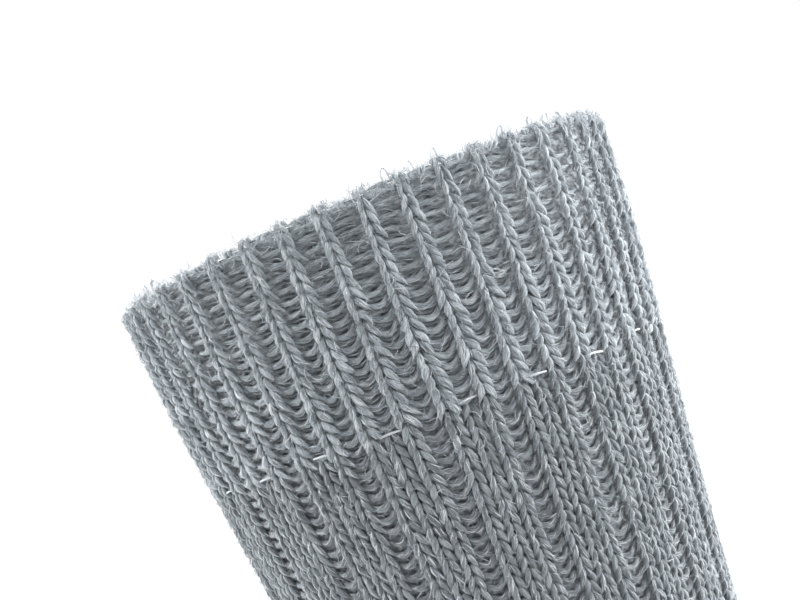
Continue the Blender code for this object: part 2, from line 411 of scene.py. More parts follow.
def yarn_length(name, points, widths, sides=6, slot=0, slots=1):
    """A tapered length of yarn through points, in millimetres, with its half widths."""
    bpy.ops.object.select_all(action="DESELECT")
    bpy.ops.curve.primitive_nurbs_path_add()
    piece = bpy.context.object
    piece.name = name
    piece.data.splines.clear()
    spline = piece.data.splines.new("POLY")
    spline.points.add(len(points) - 1)
    for point, place_mm, width in zip(spline.points, points, widths):
        point.co = (*place_mm, 1)
        point.radius = width
    piece.data.bevel_depth = 1
    piece.data.bevel_resolution = sides // 2 - 2
    bpy.ops.object.convert(target="MESH")
    piece = bpy.context.object
    steps = np.linalg.norm(np.diff(np.array(points), axis=0), axis=1)
    run = np.concatenate(([0], np.cumsum(steps)))
    turns = math.tau * np.arange(sides) / sides
    yarn = [(d, math.cos(a), math.sin(a)) for d in run for a in turns]
    keep(piece, "yarn", "FLOAT_VECTOR", "vector", np.array(yarn))
    keep(piece, "axis", "FLOAT_VECTOR", "vector", np.repeat(np.array(points), sides, axis=0))
    keep(piece, "part", "INT", "value", np.full(len(yarn), slot))
    piece.data.uv_layers[0].name = "OFBake"
    uv = np.empty(2 * len(piece.data.loops))
    piece.data.uv_layers[0].data.foreach_get("uv", uv)
    uv = 0.5 + UV_SHARE * (uv.reshape(-1, 2) - 0.5)
    uv[:, 1] = (uv[:, 1] + slot) / slots
    piece.data.uv_layers[0].data.foreach_set("uv", uv.ravel())
    bpy.ops.object.mode_set(mode="EDIT")
    bpy.ops.mesh.select_all(action="SELECT")
    bpy.ops.mesh.remove_doubles(threshold=END_MERGE)
    bpy.ops.object.mode_set(mode="OBJECT")
    return piece


# %% Joining and repeating
def joined(name, pieces):
    """Several meshes made one."""
    bpy.ops.object.select_all(action="DESELECT")
    for piece in pieces:
        piece.select_set(True)
    bpy.context.view_layer.objects.active = pieces[0]
    bpy.ops.object.join()
    pieces[0].name = name
    pieces[0].data.name = name
    return pieces[0]


def repeated(piece, courses, course_mm, wales, wale_mm):
    """The stitch repeated down its wale and then across, each copy with its own patch of UV."""
    uv = np.empty(2 * len(piece.data.loops))
    piece.data.uv_layers[0].data.foreach_get("uv", uv)
    uv = uv.reshape(-1, 2) / (wales, courses)
    piece.data.uv_layers[0].data.foreach_set("uv", uv.ravel())
    bpy.ops.object.select_all(action="DESELECT")
    piece.select_set(True)
    bpy.context.view_layer.objects.active = piece
    for count, step, shift in (
        (courses, (0, course_mm, 0), ("offset_v", 1 / courses)),
        (wales, (wale_mm, 0, 0), ("offset_u", 1 / wales)),
    ):
        bpy.ops.object.modifier_add(type="ARRAY")
        array = piece.modifiers[-1]
        array.count = count
        array.use_relative_offset = False
        array.use_constant_offset = True
        array.constant_offset_displace = step
        setattr(array, *shift)
        bpy.ops.object.modifier_apply(modifier=array.name)
    return piece


# %% Laying a piece in place
TRIANGLES = {}


def laid(piece, points, lots, material):
    """Puts a repeated piece's points in place and gives each point its strand's lot number.

    The chart runs down while the skin's lift runs outward, so the faces come out inside out and are
    turned back.
    """
    set_coordinates(piece, points)
    piece.data.flip_normals()
    for helper in ("part", "axis"):
        if helper in piece.data.attributes:
            piece.data.attributes.remove(piece.data.attributes[helper])
    keep(piece, "lot", "FLOAT", "value", lots.astype(np.float32))
    piece.data.materials.append(material)
    piece.data.calc_loop_triangles()
    TRIANGLES[piece.name] = len(piece.data.loop_triangles)
    print(f"{piece.name}: {TRIANGLES[piece.name]} triangles")
    return piece


# %% [markdown]
# No two stitches of real knitting are quite alike. Modelling each would take months, and plain
# copies look like a machine's, so a stretch is a field of like stitches that draws for each of them a
# small tilt, swell, bow and shift, in millimetres, and then carries its points to the skin.

# %% Stretches of stitches
UNEVENNESS = (0.06, 0.07, 0.05, 0.08, 0.10, 0.08)
WALE_DRIFT, COURSE_DRIFT = (5, 0.12), (6, 0.16)
# Painted shade: the lots of the purl loops' feet are multiplied by this, so their wool is darker.
FEET_PAINTED_SHADE = 0.2


def as_made(wale, course, axis, side):
    """A stitch that stays as it was modelled, wherever it lies."""
    return axis + side


class Stretch:
    """Stitches on a chart. Each lies at a middle wale and course and has its own unevenness."""

    def __init__(self, chart, courses, first_course, wales, first_wale, wale_step, course_mm, wale_mm,
                 shaped=as_made, unevenness=1.0):
        self.chart, self.courses, self.wales = chart, courses, wales
        self.course_mm, self.wale_mm, self.wale_step = course_mm, wale_mm, wale_step
        self.shaped = shaped
        self.copies = courses * wales
        copy = np.arange(self.copies)
        self.middle_wale = first_wale + wale_step * (copy // courses)
        self.middle_course = first_course + copy % courses
        self.uneven = unevenness * rng.normal(0, 1, (self.copies, 6)) * UNEVENNESS

    def carry(self, copy, axis, side):
        """Space points for points of the stitches: their strand's axis, and the step from it."""
        here, there = self.middle_wale[copy], self.middle_course[copy]
        x, y, z = self.shaped(here, there, axis, side).T
        tilt, swell, bow, shift_x, shift_y, shift_z = self.uneven[copy].T
        x, y = (1 + swell) * (x + tilt * y) + bow * y * y + shift_x, y - tilt * x + shift_y
        wale, course = here + x / self.wale_mm, there + y / self.course_mm
        below = CUFF_COURSES if self.chart is leg_chart else 0
        wale, course = (wale + wander(wale, course + below, *WALE_DRIFT),
                        course + wander(wale, course + below, *COURSE_DRIFT))
        return place(self.chart, wale, course, (z + shift_z) * MM)


# %% Knitting a stretch
def knitted(piece, stretch, material, paint_shade_on_feet=False):
    """Repeats a stitch over the stretch and carries every copy to the skin.

    The feet of a purl loop lie deep in the trough; lowering their lots paints shade on them.
    """
    unit = len(piece.data.vertices)
    across = stretch.wale_step * stretch.wale_mm
    repeated(piece, stretch.courses, stretch.course_mm, stretch.wales, across)
    copy = np.repeat(np.arange(stretch.copies), unit)
    start_x = copy // stretch.courses * across
    start_y = copy % stretch.courses * stretch.course_mm
    start = np.column_stack((start_x, start_y, 0 * copy))
    axis = np.empty(3 * len(copy))
    piece.data.attributes["axis"].data.foreach_get("vector", axis)
    axis = axis.reshape(-1, 3)
    part = np.empty(len(copy), dtype=np.int32)
    piece.data.attributes["part"].data.foreach_get("value", part)
    lots = rng.random((stretch.copies, part.max() + 1))[copy, part]
    # Painted shade: the feet's lower lots darken their wool.
    lots = np.where((part == 1) & paint_shade_on_feet, FEET_PAINTED_SHADE * lots, lots)
    points = stretch.carry(copy, axis, coordinates(piece) - start - axis)
    return laid(piece, points, lots, material)


# %% [markdown]
# The yarn is a grey marl, spun from light and dark wool, so each strand is streaked with paler and
# darker fibres that wind round it. A streak painted straight along would look like the grain of
# wood, so the material turns the point's place round the yarn by its distance along it, and draws a
# noise out in that direction. Sheen gives the pale bloom of fine hair on wool.

# %% Making a finish
def srgb(*values):
    """A colour named by its screen values, as the linear numbers that a shader takes."""
    parts = [v / 255 for v in values]
    return tuple(p / 12.92 if p <= 0.04045 else ((p + 0.055) / 1.055) ** 2.4 for p in parts) + (1,)


class Finish:
    """A material in the making. Its methods add nodes and give back what comes out of them."""

    def __init__(self, name):
        self.material = bpy.data.materials.new(name)
        self.material.use_nodes = True
        self.nodes = self.material.node_tree.nodes
        self.links = self.material.node_tree.links
        self.surface = self.nodes["Principled BSDF"].inputs

    def node(self, kind, **values):
        """A new node. What comes out of another node is linked to it, and other values are set."""
        made = self.nodes.new(kind)
        for key, value in values.items():
            if isinstance(value, bpy.types.NodeSocket):
                self.links.new(value, made.inputs[key])
            elif key in made.inputs:
                made.inputs[key].default_value = value
            else:
                setattr(made, key, value)
        return made

    def maths(self, operation, *values):
        """A sum on what comes out of nodes and on plain numbers."""
        made = self.nodes.new("ShaderNodeMath")
        made.operation = operation
        for socket, value in zip(made.inputs, values):
            if isinstance(value, bpy.types.NodeSocket):
                self.links.new(value, socket)
            else:
                socket.default_value = value
        return made.outputs[0]

    def blend(self, *parts):
        """Values added up, each times its share."""
        total = None
        for value, share in parts:
            part = value if share == 1 else self.maths("MULTIPLY", value, share)
            total = part if total is None else self.maths("ADD", total, part)
        return total

    def colour(self, tone, stops):
        """Colours the surface by a tone. Each stop is a tone and its colour on the screen."""
        ramp = self.node("ShaderNodeValToRGB", Fac=tone)
        ends = ramp.color_ramp.elements
        ends[0].position, ends[1].position = stops[0][0], stops[-1][0]
        ends[0].color, ends[1].color = srgb(*stops[0][1]), srgb(*stops[-1][1])
        for position, shown in stops[1:-1]:
            ends.new(position).color = srgb(*shown)
        self.links.new(ramp.outputs["Color"], self.surface["Base Color"])

    def relief(self, height, strength, distance):
        """Raises the surface a little by a height, for its shading alone."""
        bump = self.node("ShaderNodeBump", Height=height, Strength=strength, Distance=distance)
        self.links.new(bump.outputs[0], self.surface["Normal"])

    def settle(self, values):
        """Sets the shader's own sockets, and hands over the material."""
        for name, value in values.items():
            self.surface[name].default_value = value
        print("finish:", self.material.name)
        return self.material


# %% The wool
MARL = ((82, 88, 92), (143, 150, 155), (205, 210, 213))
MARL_TONES = (0.12, 0.50, 0.90)
TONE_SHIFT = -0.47
LOT_SHARE = 0.26
LOT_SHIFT = 60.0
PLY_TWIST = 0.7
LOCKS, FIBRES, FINE_HAIRS = (0.4, 1.1, 1.0), (0.8, 3.6, 2.0), (1.2, 7.5, 1.0)
STREAK_ROUGHNESS = 0.6
LOCK_SHARE, FIBRE_SHARE, HAIR_SHARE = 0.55, 0.9, 0.45
HAIR_HEIGHT = 0.35
WOOL_BUMP, WOOL_BUMP_DEPTH = 0.4, 0.35 * MM
WOOL_SURFACE = {
    "Subsurface Weight": 0.3,
    "Subsurface Radius": (1, 1, 1),
    "Subsurface Scale": 0.6 * MM,
    "Roughness": 0.88,
    "Specular IOR Level": 0.2,
    "Sheen Weight": 0.65,
    "Sheen Roughness": 0.55,
    "Sheen Tint": srgb(225, 230, 234),
}


def wool(name, shade=1.0, lot_share=LOT_SHARE, colours=MARL):
    """The wool of all that is made of yarn. lot_share says how far its strands differ in tone."""
    finish = Finish(name)
    yarn = finish.node("ShaderNodeAttribute", attribute_name="yarn").outputs["Vector"]
    lot = finish.node("ShaderNodeAttribute", attribute_name="lot").outputs["Fac"]
    distance = finish.node("ShaderNodeSeparateXYZ", Vector=yarn).outputs[0]
    along = finish.blend((distance, 1), (lot, LOT_SHIFT))
    angle = finish.maths("MULTIPLY", along, PLY_TWIST)
    turn = finish.node("ShaderNodeVectorRotate", rotation_type="X_AXIS", Vector=yarn, Angle=angle)
    wound = finish.node("ShaderNodeSeparateXYZ", Vector=turn.outputs[0]).outputs

    def streaks(along_scale, round_scale, detail):
        """A noise drawn out along the wound fibres."""
        spot = finish.node(
            "ShaderNodeCombineXYZ",
            X=finish.maths("MULTIPLY", along, along_scale),
            Y=finish.maths("MULTIPLY", wound[1], round_scale),
            Z=finish.maths("MULTIPLY", wound[2], round_scale),
        ).outputs[0]
        noise = finish.node("ShaderNodeTexNoise", Vector=spot, Scale=1.0, Detail=detail,
                            Roughness=STREAK_ROUGHNESS)
        return noise.outputs["Fac"]

    locks, fibres, hairs = streaks(*LOCKS), streaks(*FIBRES), streaks(*FINE_HAIRS)
    tone = finish.blend((locks, LOCK_SHARE), (fibres, FIBRE_SHARE), (hairs, HAIR_SHARE))
    tone = finish.maths("ADD", tone, TONE_SHIFT - lot_share / 2)
    tone = finish.maths("ADD", tone, finish.maths("MULTIPLY", lot, lot_share))
    shades = [[part * shade for part in colour] for colour in colours]
    finish.colour(tone, list(zip(MARL_TONES, shades)))
    finish.relief(finish.blend((hairs, HAIR_HEIGHT), (fibres, 1)), WOOL_BUMP, WOOL_BUMP_DEPTH)
    return finish.settle(WOOL_SURFACE)


# The cuff, the leg and the foot are one yarn. The leg's wool is darker as painted shade, for the dimmer
# light on the leg, and the foot's is darkened to match it.
CUFF_SHADE, LEG_PAINTED_SHADE, FOOT_SHADE = 1.02, 0.81, 0.85
FOOT_LOT_SHARE = 0.12
ribbed_wool = wool("ribbed marl wool", CUFF_SHADE)
painted_shade_leg_wool = wool("leg marl wool with painted shade", LEG_PAINTED_SHADE)
plain_wool = wool("plain marl wool", FOOT_SHADE, FOOT_LOT_SHARE)

# %% [markdown]
# Between the loops, and inside the cuff, the cloth behind them shows. Loops of yarn there would
# seldom be seen, so its wool is a flat layer: a noise stands for the fibres, and the slanting ridges
# of plain knitting are worked out from the place round the leg and up it. The ridges also lighten
# its colour and the grooves darken it, as painted shade.

# %% The inner cloth's wool
INNER_STOPS = ((0.38, (86, 91, 96)), (0.75, (178, 184, 188)))
FIBRE_DRAW = (1, 1, 4)
INNER_FIBRES = {"Scale": 520.0, "Detail": 3.0, "Roughness": 0.65}
INNER_COURSE = 2.15 * MM
RIDGE_SLANT = 10.0
WALE_RELIEF, COURSE_RELIEF = 1.2, 0.3
# The first is how far the relief darkens the colour in the grooves and lightens it on the ridges, as
# painted shade.
RELIEF_PAINTED_SHADE, FIBRE_HEIGHT = 0.22, 0.7
INNER_BUMP, INNER_BUMP_DEPTH = 0.7, 0.4 * MM


def backing(name):
    """The same wool as seen between and behind the raised loops, in a plain layer with painted shade.
    """
    finish = Finish(name)
    spot = finish.node("ShaderNodeTexCoord").outputs["Object"]
    drawn = finish.node("ShaderNodeMapping", Vector=spot, Scale=FIBRE_DRAW).outputs[0]
    fibres = finish.node("ShaderNodeTexNoise", Vector=drawn, **INNER_FIBRES).outputs["Fac"]
    x, y, z = finish.node("ShaderNodeSeparateXYZ", Vector=spot).outputs
    wale = finish.maths("MULTIPLY", finish.maths("ARCTAN2", x, y), WALES / math.tau)
    slant = finish.maths("PINGPONG", wale, 0.5)
    ridge = finish.maths("SINE", finish.blend((z, math.tau / INNER_COURSE), (slant, RIDGE_SLANT)))
    relief = finish.blend((slant, WALE_RELIEF), (ridge, COURSE_RELIEF))
    # Painted shade: the relief darkens the colour in the grooves and lightens it on the ridges.
    finish.colour(finish.blend((fibres, 1), (relief, RELIEF_PAINTED_SHADE)), INNER_STOPS)
    finish.relief(finish.blend((relief, 1), (fibres, FIBRE_HEIGHT)), INNER_BUMP, INNER_BUMP_DEPTH)
    return finish.settle({"Roughness": 0.92, "Sheen Weight": 0.2})


inner_wool = backing("inner marl wool")

# %% [markdown]
# Behind the raised loops the knitting is a closed cloth. A tube could be drawn out from a circle, but
# it would have none of the chart's wales. So the cloth is a grid of the chart, carried to the skin
# as the stitches are, and given its thickness with Solidify. Under a purl wale it lies deeper.

# %% A cloth behind the loops
CLOTH_THICKNESS = 0.8 * MM
KNIT_DEPTH = 1.0
PURL_DEPTH = 2.2
TOE_SEAM_LINE = (SEAM_Y + KNIT_DEPTH * MM, SEAM_Z)
CLOTH_MERGE = 1e-6
EDGE_SLACK = 0.01


def cloth(name, chart, rows, first_wale, last_wale, columns, depth):
    """A thin sheet on a chart. depth gives how far under the skin a wale lies."""
    bpy.ops.object.select_all(action="DESELECT")
    bpy.ops.mesh.primitive_grid_add(x_subdivisions=columns, y_subdivisions=rows, size=1)
    piece = bpy.context.object
    piece.name = name
    flat = coordinates(piece) + 0.5
    wale = first_wale + (last_wale - first_wale) * flat[:, 0]
    course = chart.courses * flat[:, 1]
    points = place(chart, wale, course, -depth(wale, course) * MM)
    if chart is toe_chart:
        points[course > chart.courses - EDGE_SLACK, 1:] = TOE_SEAM_LINE
    set_coordinates(piece, points)
    bpy.ops.object.mode_set(mode="EDIT")
    bpy.ops.mesh.select_all(action="SELECT")
    if last_wale - first_wale == WALES:
        bpy.ops.mesh.remove_doubles(threshold=CLOTH_MERGE)
    bpy.ops.mesh.normals_make_consistent(inside=False)
    bpy.ops.object.mode_set(mode="OBJECT")
    middle_wale, middle_course = np.array([[(first_wale + last_wale) / 2], [chart.courses / 2]])
    spot, out, _ = skin_frame(chart.row(middle_wale, middle_course), math.tau * middle_wale / WALES)
    nearest = min(piece.data.polygons, key=lambda face: (face.center - Vector(spot[0])).length)
    if nearest.normal.dot(Vector(out[0])) < 0:
        piece.data.flip_normals()
    bpy.ops.object.modifier_add(type="SOLIDIFY")
    piece.modifiers[-1].thickness = CLOTH_THICKNESS
    piece.modifiers[-1].offset = -1
    bpy.ops.object.modifier_apply(modifier=piece.modifiers[-1].name)
    bpy.ops.object.shade_smooth()
    piece.data.materials.append(inner_wool)
    print(f"{name}: {len(piece.data.polygons)} faces")
    return piece


# %% The cloths of the cuff and the leg
BAND_DEPTH, BAND_FADE = 0.35, 6
CORD_LIFT = 0.1
LEG_PURL_LIFT, LEG_KNIT_DROP = 0.2, 0.5
PURL_REACH = 1.1
CHANGE_FADE = 1.5
ALL_ROUND = (-0.5, WALES - 0.5)


def cuff_depth(wale, course):
    """One-by-one rib: every even wale is purl. The band lies deeper until it nears the leg."""
    drawn_in = BAND_DEPTH * np.clip((CUFF_COURSES - course) / BAND_FADE, 0, 1)
    return drawn_in + np.where(np.round(wale) % 2 == 0, PURL_DEPTH, PURL_DEPTH - CORD_LIFT)


def leg_depth(wale, course):
    """Three-by-one rib: the wales 2, 6, 10 and so on are purl."""
    near_purl = np.abs(np.mod(wale, 4) - 2) < PURL_REACH
    depth = np.where(near_purl, PURL_DEPTH - LEG_PURL_LIFT, KNIT_DEPTH + LEG_KNIT_DROP)
    return depth + (PURL_DEPTH - depth) * np.exp(-np.maximum(course, 0) / CHANGE_FADE)


cuff_cloth = cloth("cuff_cloth", cuff_chart, 18, *ALL_ROUND, 4 * WALES, cuff_depth)
leg_cloth = cloth("leg_cloth", leg_chart, 30, *ALL_ROUND, 3 * WALES, leg_depth)

# %% [markdown]
# In one-by-one rib the knit wales draw together into slim cords. A knit stitch shows as two legs
# that spread downwards from one point. The yarn's own twist makes the two unlike: the left leg runs
# almost straight down and the right one leans. Each dips under the stitch below it. A whole loop,
# drawn through the next one, would hide most of its yarn, so only what shows is modelled.

# %% The cuff's knit cords
CUFF_COURSE_MM = 2.15
CUFF_WALE_MM = 3.6
SEVEN = np.linspace(0, 1, 7)
CROWN, CROWN_REACH, CROWN_POWER = 0.42, 0.55, 2.2


def leg_path(inner, outer, top, bottom, course_mm, wale_mm, high, low, steps=SEVEN):
    """One leg of a knit stitch, from its narrow head to its spread foot."""
    ease = steps * steps * (3 - 2 * steps)
    x = (inner + (outer - inner) * ease) * wale_mm
    y = (top + (bottom - top) * steps) * course_mm
    z = high - (high - low) * np.abs((steps - CROWN) / CROWN_REACH) ** CROWN_POWER
    return list(zip(x, y, z))


ROPE_WIDTHS = (0.02, 0.30, 0.50, 0.56, 0.46, 0.26, 0.02)
ROPE_PATHS = (
    leg_path(0.04, 0.46, -0.55, 1.30, CUFF_COURSE_MM, CUFF_WALE_MM, -0.42, -1.5),
    leg_path(-0.13, -0.32, -0.70, 1.10, CUFF_COURSE_MM, CUFF_WALE_MM, -0.32, -1.3),
)
WELT_COURSES = 2
RIM_SLIMNESS, CORD_GAIN, GAIN_COURSES = 0.82, 0.45, 16
CORD_SINK = 0.1


def slim_cords(wale, course, axis, side):
    """The cords are drawn slim under the rim, and roll over it a little lower."""
    points = axis + side
    points[:, 0] *= RIM_SLIMNESS + CORD_GAIN * np.clip(course / GAIN_COURSES, 0, 1)
    points[:, 2] -= CORD_SINK * np.clip(1 - course, 0, 1)
    return points


def stitch_of(name, paths, widths, sides=6):
    """One stitch joined from its strands, which all have the same widths."""
    strands = []
    for number, path in enumerate(paths):
        strands.append(yarn_length(f"{name} strand", path, widths, sides, number, len(paths)))
    return joined(name, strands)


cord_stretch = Stretch(cuff_chart, CUFF_COURSES + WELT_COURSES, -WELT_COURSES + 0.5, WALES // 2, 1, 2,
                       CUFF_COURSE_MM, CUFF_WALE_MM, slim_cords)
cuff_knit = knitted(stitch_of("cuff_knit", ROPE_PATHS, ROPE_WIDTHS), cord_stretch, ribbed_wool)

# %% [markdown]
# Between the cords lie the purl wales. Their loops show from the back: each is a soft arc across the
# trough, its ends drawn up under the cords, and the feet of the next loop come up between. These two
# strands are all that shows of a loop, so they are modelled, and the deeper one has fewer faces.

# %% The cuff's purl loops
ARC = np.linspace(-1, 1, 7)
ARC_WIDTHS = (0.02, 0.46, 0.60, 0.62, 0.54, 0.42, 0.02)
FEET_WIDTHS = (0.02, 0.36, 0.38, 0.36, 0.02)
ARC_REACH, ARC_BOW = 0.82, 0.85
ARC_SKEW, CURL_GAIN, CURL_POWER = 0.06, 1.9, 1.8
LEFT_DIP, RIGHT_DIP = 2.5, 5
FIVE_ARC = np.linspace(-1, 1, 5)
FEET_DROP, FEET_HEIGHT, FEET_DIP = 0.52, -2.3, 0.2


def arc_path(reach, depth, course_mm, wale_mm, high, low):
    """The head of a purl loop, which sags from the left cord and curls up along the right one."""
    x = reach * (ARC - ARC_SKEW * ARC**2) * wale_mm
    climb = np.where(ARC > 0, np.minimum(1, CURL_GAIN * np.abs(ARC) ** CURL_POWER), ARC**2)
    y = depth * (1 - climb) * course_mm
    z = high - (high - low) * np.abs(ARC) ** np.where(ARC > 0, RIGHT_DIP, LEFT_DIP)
    return list(zip(x, y, z))


def feet_path(reach, depth, course_mm, wale_mm):
    """The feet of the next purl loop, which cross half a course below the head and deeper."""
    x = reach * FIVE_ARC * wale_mm
    y = (FEET_DROP + depth * (1 - FIVE_ARC**2)) * course_mm
    z = FEET_HEIGHT - FEET_DIP * np.abs(FIVE_ARC) ** LEFT_DIP
    return list(zip(x, y, z))


ARC_PATHS = (
    arc_path(ARC_REACH, ARC_BOW, CUFF_COURSE_MM, CUFF_WALE_MM, -1.68, -2.1),
    feet_path(ARC_REACH, ARC_BOW, CUFF_COURSE_MM, CUFF_WALE_MM),
)

# %% Knitting the purl loops
BOW_X, BOW_Y, _ = np.array(ARC_PATHS[0]).T
DRAWN_COURSES, EASED_COURSES = 3, 8
LEAST_EASE = 0.05
DRAWN_THIN = 0.36
RIM_LIFT = 0.52
RIM_UNEVENNESS = 2.4


def drawn_arcs(wale, course, axis, side):
    """Under the rim the purl loops are drawn thin and straight, and over the rim they lie higher."""
    drawn = 1 - np.clip((course - DRAWN_COURSES) / EASED_COURSES, LEAST_EASE, 1)
    bow = np.interp(axis[:, 0], BOW_X, BOW_Y)
    points = axis + (1 - DRAWN_THIN * drawn)[:, None] * side
    points[:, 1] -= drawn * bow
    points[:, 2] += RIM_LIFT * np.clip(1 - course, 0, 1)
    return points


cuff_purl_loop = joined("cuff_purl", [
    yarn_length("purl head", ARC_PATHS[0], ARC_WIDTHS, 6, 0, 2),
    yarn_length("purl feet", ARC_PATHS[1], FEET_WIDTHS, 4, 1, 2),
])
trough_stretch = Stretch(cuff_chart, CUFF_COURSES + WELT_COURSES, -WELT_COURSES + 0.1, WALES // 2, 0, 2,
                         CUFF_COURSE_MM, CUFF_WALE_MM, drawn_arcs)
trough_stretch.uneven[trough_stretch.middle_course < 1] *= RIM_UNEVENNESS
cuff_purl = knitted(cuff_purl_loop, trough_stretch, ribbed_wool, paint_shade_on_feet=True)

# %% [markdown]
# Below the cuff the rib changes to three knit wales and one purl. The middle knit wale grows out of
# a purl trough of the cuff, so its first stitches lie deeper and come up over a few courses. All
# three could be one array, but as pieces of their own each has its own place in the rib.

# %% The leg's knit wales
LEG_COURSE_MM = 2.1
LEG_WALE_MM = 3.1
LEG_SHARE = 0.55
UPPER_COURSES = 24
SIX = np.linspace(0, 1, 6)
LEAF_WIDTHS = (0.02, 0.38, 0.53, 0.49, 0.31, 0.02)
NEW_WALE_DEPTH, NEW_WALE_FADE = 0.9, 1.8
WALE_LABELS = ("left", "middle", "right")


def rising(wale, course, axis, side):
    """The new knit wales start down in the cuff's troughs and come up over a few courses."""
    points = axis + side
    new_wale = np.mod(np.round(wale), 4) == 0
    sunk = NEW_WALE_DEPTH * np.exp(-np.maximum(course, 0) / NEW_WALE_FADE)
    points[:, 2] -= np.where(new_wale, sunk, 0)
    return points


def v_paths(steps, course_mm, wale_mm):
    """Both legs of a knit stitch, the left one steeper and higher than the right."""
    return (
        leg_path(-0.11, -0.39, -0.65, 1.25, course_mm, wale_mm, -0.38, -1.35, steps),
        leg_path(0.07, 0.46, -0.50, 1.35, course_mm, wale_mm, -0.52, -1.40, steps),
    )


def leg_wales(name, courses, first_course, steps, widths, sides, shaped=as_made):
    """The three knit wales between two purl ones, as three pieces, and their stretches."""
    stretches, pieces = [], []
    for offset, label in zip((-1, 0, 1), WALE_LABELS):
        stretch = Stretch(leg_chart, courses, first_course, WALES // 4, offset, 4,
                          LEG_COURSE_MM, LEG_WALE_MM, shaped, LEG_SHARE)
        paths = v_paths(steps, LEG_COURSE_MM, LEG_WALE_MM)
        stitch = stitch_of(f"{name}_{label}", paths, widths, sides)
        stretches.append(stretch)
        pieces.append(knitted(stitch, stretch, painted_shade_leg_wool))
    return stretches, pieces


leg_stretches, leg_knit = leg_wales("leg_knit", UPPER_COURSES, 0.5, SIX, LEAF_WIDTHS, 6, rising)

# %% [markdown]
# Every fourth wale of the leg is purl. It is a narrow groove between the wide bands of knit wales,
# so its loops are the cuff's arcs made smaller, and the feet behind them aren't needed.

# %% The leg's purl wales
LEG_ARC_PATH = arc_path(0.74, 0.66, LEG_COURSE_MM, LEG_WALE_MM, -1.35, -1.9)
LEG_ARC_WIDTHS = (0.02, 0.44, 0.54, 0.56, 0.50, 0.36, 0.02)
GROOVE_SHARE = 0.7

leg_trough = Stretch(leg_chart, UPPER_COURSES, 0.1, WALES // 4, 2, 4,
                     LEG_COURSE_MM, LEG_WALE_MM, unevenness=GROOVE_SHARE)
leg_purl = knitted(yarn_length("leg_purl", LEG_ARC_PATH, LEG_ARC_WIDTHS), leg_trough, painted_shade_leg_wool)

# %% [markdown]
# Further down the leg the same stitches go on, and there are thousands of them. A stitch with all
# its faces would make the file too heavy, so here each is made with fewer points and sides.

# %% The lower leg
LOWER_COURSES = LEG_COURSES - UPPER_COURSES
FOUR = np.linspace(0, 1, 4)
SLIM_LEAF_WIDTHS = (0.02, 0.74, 0.64, 0.02)
SHIN_ARC_WIDTHS = (0.02, 0.60, 0.64, 0.60, 0.02)
SHIN_ARC_REACH, SHIN_ARC_BOW = 0.72, 0.72
SHIN_ARC_HIGH, SHIN_ARC_LOW = -1.35, -2.0

lower_knit = leg_wales(
    "shin_knit", LOWER_COURSES, UPPER_COURSES + 0.5, FOUR, SLIM_LEAF_WIDTHS, 4)[1]

shin_arc = list(zip(
    SHIN_ARC_REACH * FIVE_ARC * LEG_WALE_MM,
    SHIN_ARC_BOW * (1 - FIVE_ARC**2) * LEG_COURSE_MM,
    SHIN_ARC_HIGH - (SHIN_ARC_HIGH - SHIN_ARC_LOW) * np.abs(FIVE_ARC) ** LEFT_DIP,
))
shin_loop = yarn_length("shin_purl", shin_arc, SHIN_ARC_WIDTHS)
lower_trough = Stretch(leg_chart, LOWER_COURSES, UPPER_COURSES + 0.3, WALES // 4, 2, 4,
                       LEG_COURSE_MM, LEG_WALE_MM)
shin_purl = knitted(shin_loop, lower_trough, painted_shade_leg_wool)

# %% [markdown]
# The foot is knitted in four stretches: a cup for the heel, the instep over it, the sole, and the
# toe. Each has its own cloth on its own chart, which meets the next along a wale or a course, so
# that the seams of the knitting lie where the solids have theirs.

# %% The foot's cloths
QUARTER = WALES // 4


def plain_depth(wale, course):
    return np.full(len(wale), KNIT_DEPTH)


back_half, front_half = (QUARTER, 3 * QUARTER), (-QUARTER, QUARTER)
heel_cloth = cloth("heel_cloth", heel_chart, 46, *back_half, 42, plain_depth)
instep_cloth = cloth("instep_cloth", instep_chart, 70, *front_half, 42, plain_depth)
sole_cloth = cloth("sole_cloth", sole_chart, 44, *back_half, 42, plain_depth)
toe_cloth = cloth("toe_cloth", toe_chart, 20, 0, WALES, 84, plain_depth)

# %% [markdown]
# The foot is plain knitting, where every wale is a knit wale and its stitches look like a braid of
# narrow V shapes. They are the leg's stitch with the fewest faces that still show two legs, since
# the foot is far from the eye. The heel's grow longer where the cup bulges, and at the toe two more
# courses run on to the seam.

# %% The foot's stitches
FOOT_WALE_MM = 2.9
FOOT_COURSE_MM = 2.2
FOOT_SHARE = 0.6
THREE = np.linspace(0, 1, 3)
POD_WIDTHS = (0.02, 0.92, 0.02)


def plain_knitting(name, chart, courses, first_wale, wales):
    """Knit stitches all over a stretch of the foot."""
    stitch = stitch_of(name, v_paths(THREE, FOOT_COURSE_MM, FOOT_WALE_MM), POD_WIDTHS, 4)
    stretch = Stretch(chart, courses, 0.5, wales, first_wale, 1,
                      FOOT_COURSE_MM, FOOT_WALE_MM, unevenness=FOOT_SHARE)
    return knitted(stitch, stretch, plain_wool)


heel_knit = plain_knitting("heel_knit", heel_chart, HEEL_COURSES, QUARTER + 0.5, 42)
instep_knit = plain_knitting("instep_knit", instep_chart, instep_chart.courses, 0.5 - QUARTER, 42)
sole_knit = plain_knitting("sole_knit", sole_chart, FOOT_COURSES, QUARTER + 0.5, 42)
toe_knit = plain_knitting("toe_knit", toe_chart, TOE_COURSES + 2, 0.5, WALES)

# %% [markdown]
# The toe ends in a flat seam, where the last courses of the top and the bottom are sewn together
# with the same yarn. It could be left as a fold of the cloth, but a sewn seam shows as a row of
# short slanting stitches, so one such stitch is modelled and repeated along the line.

# %% The toe's seam
SEAM_STITCHES, SEAM_STEP_MM = 24, 1.35
SEAM_PATH = ((-0.75, -0.62, -0.7), (-0.40, -0.36, 0.05), (0.40, 0.36, 0.05), (0.75, 0.62, -0.7))
SEAM_WIDTHS = (0.02, 0.46, 0.46, 0.02)

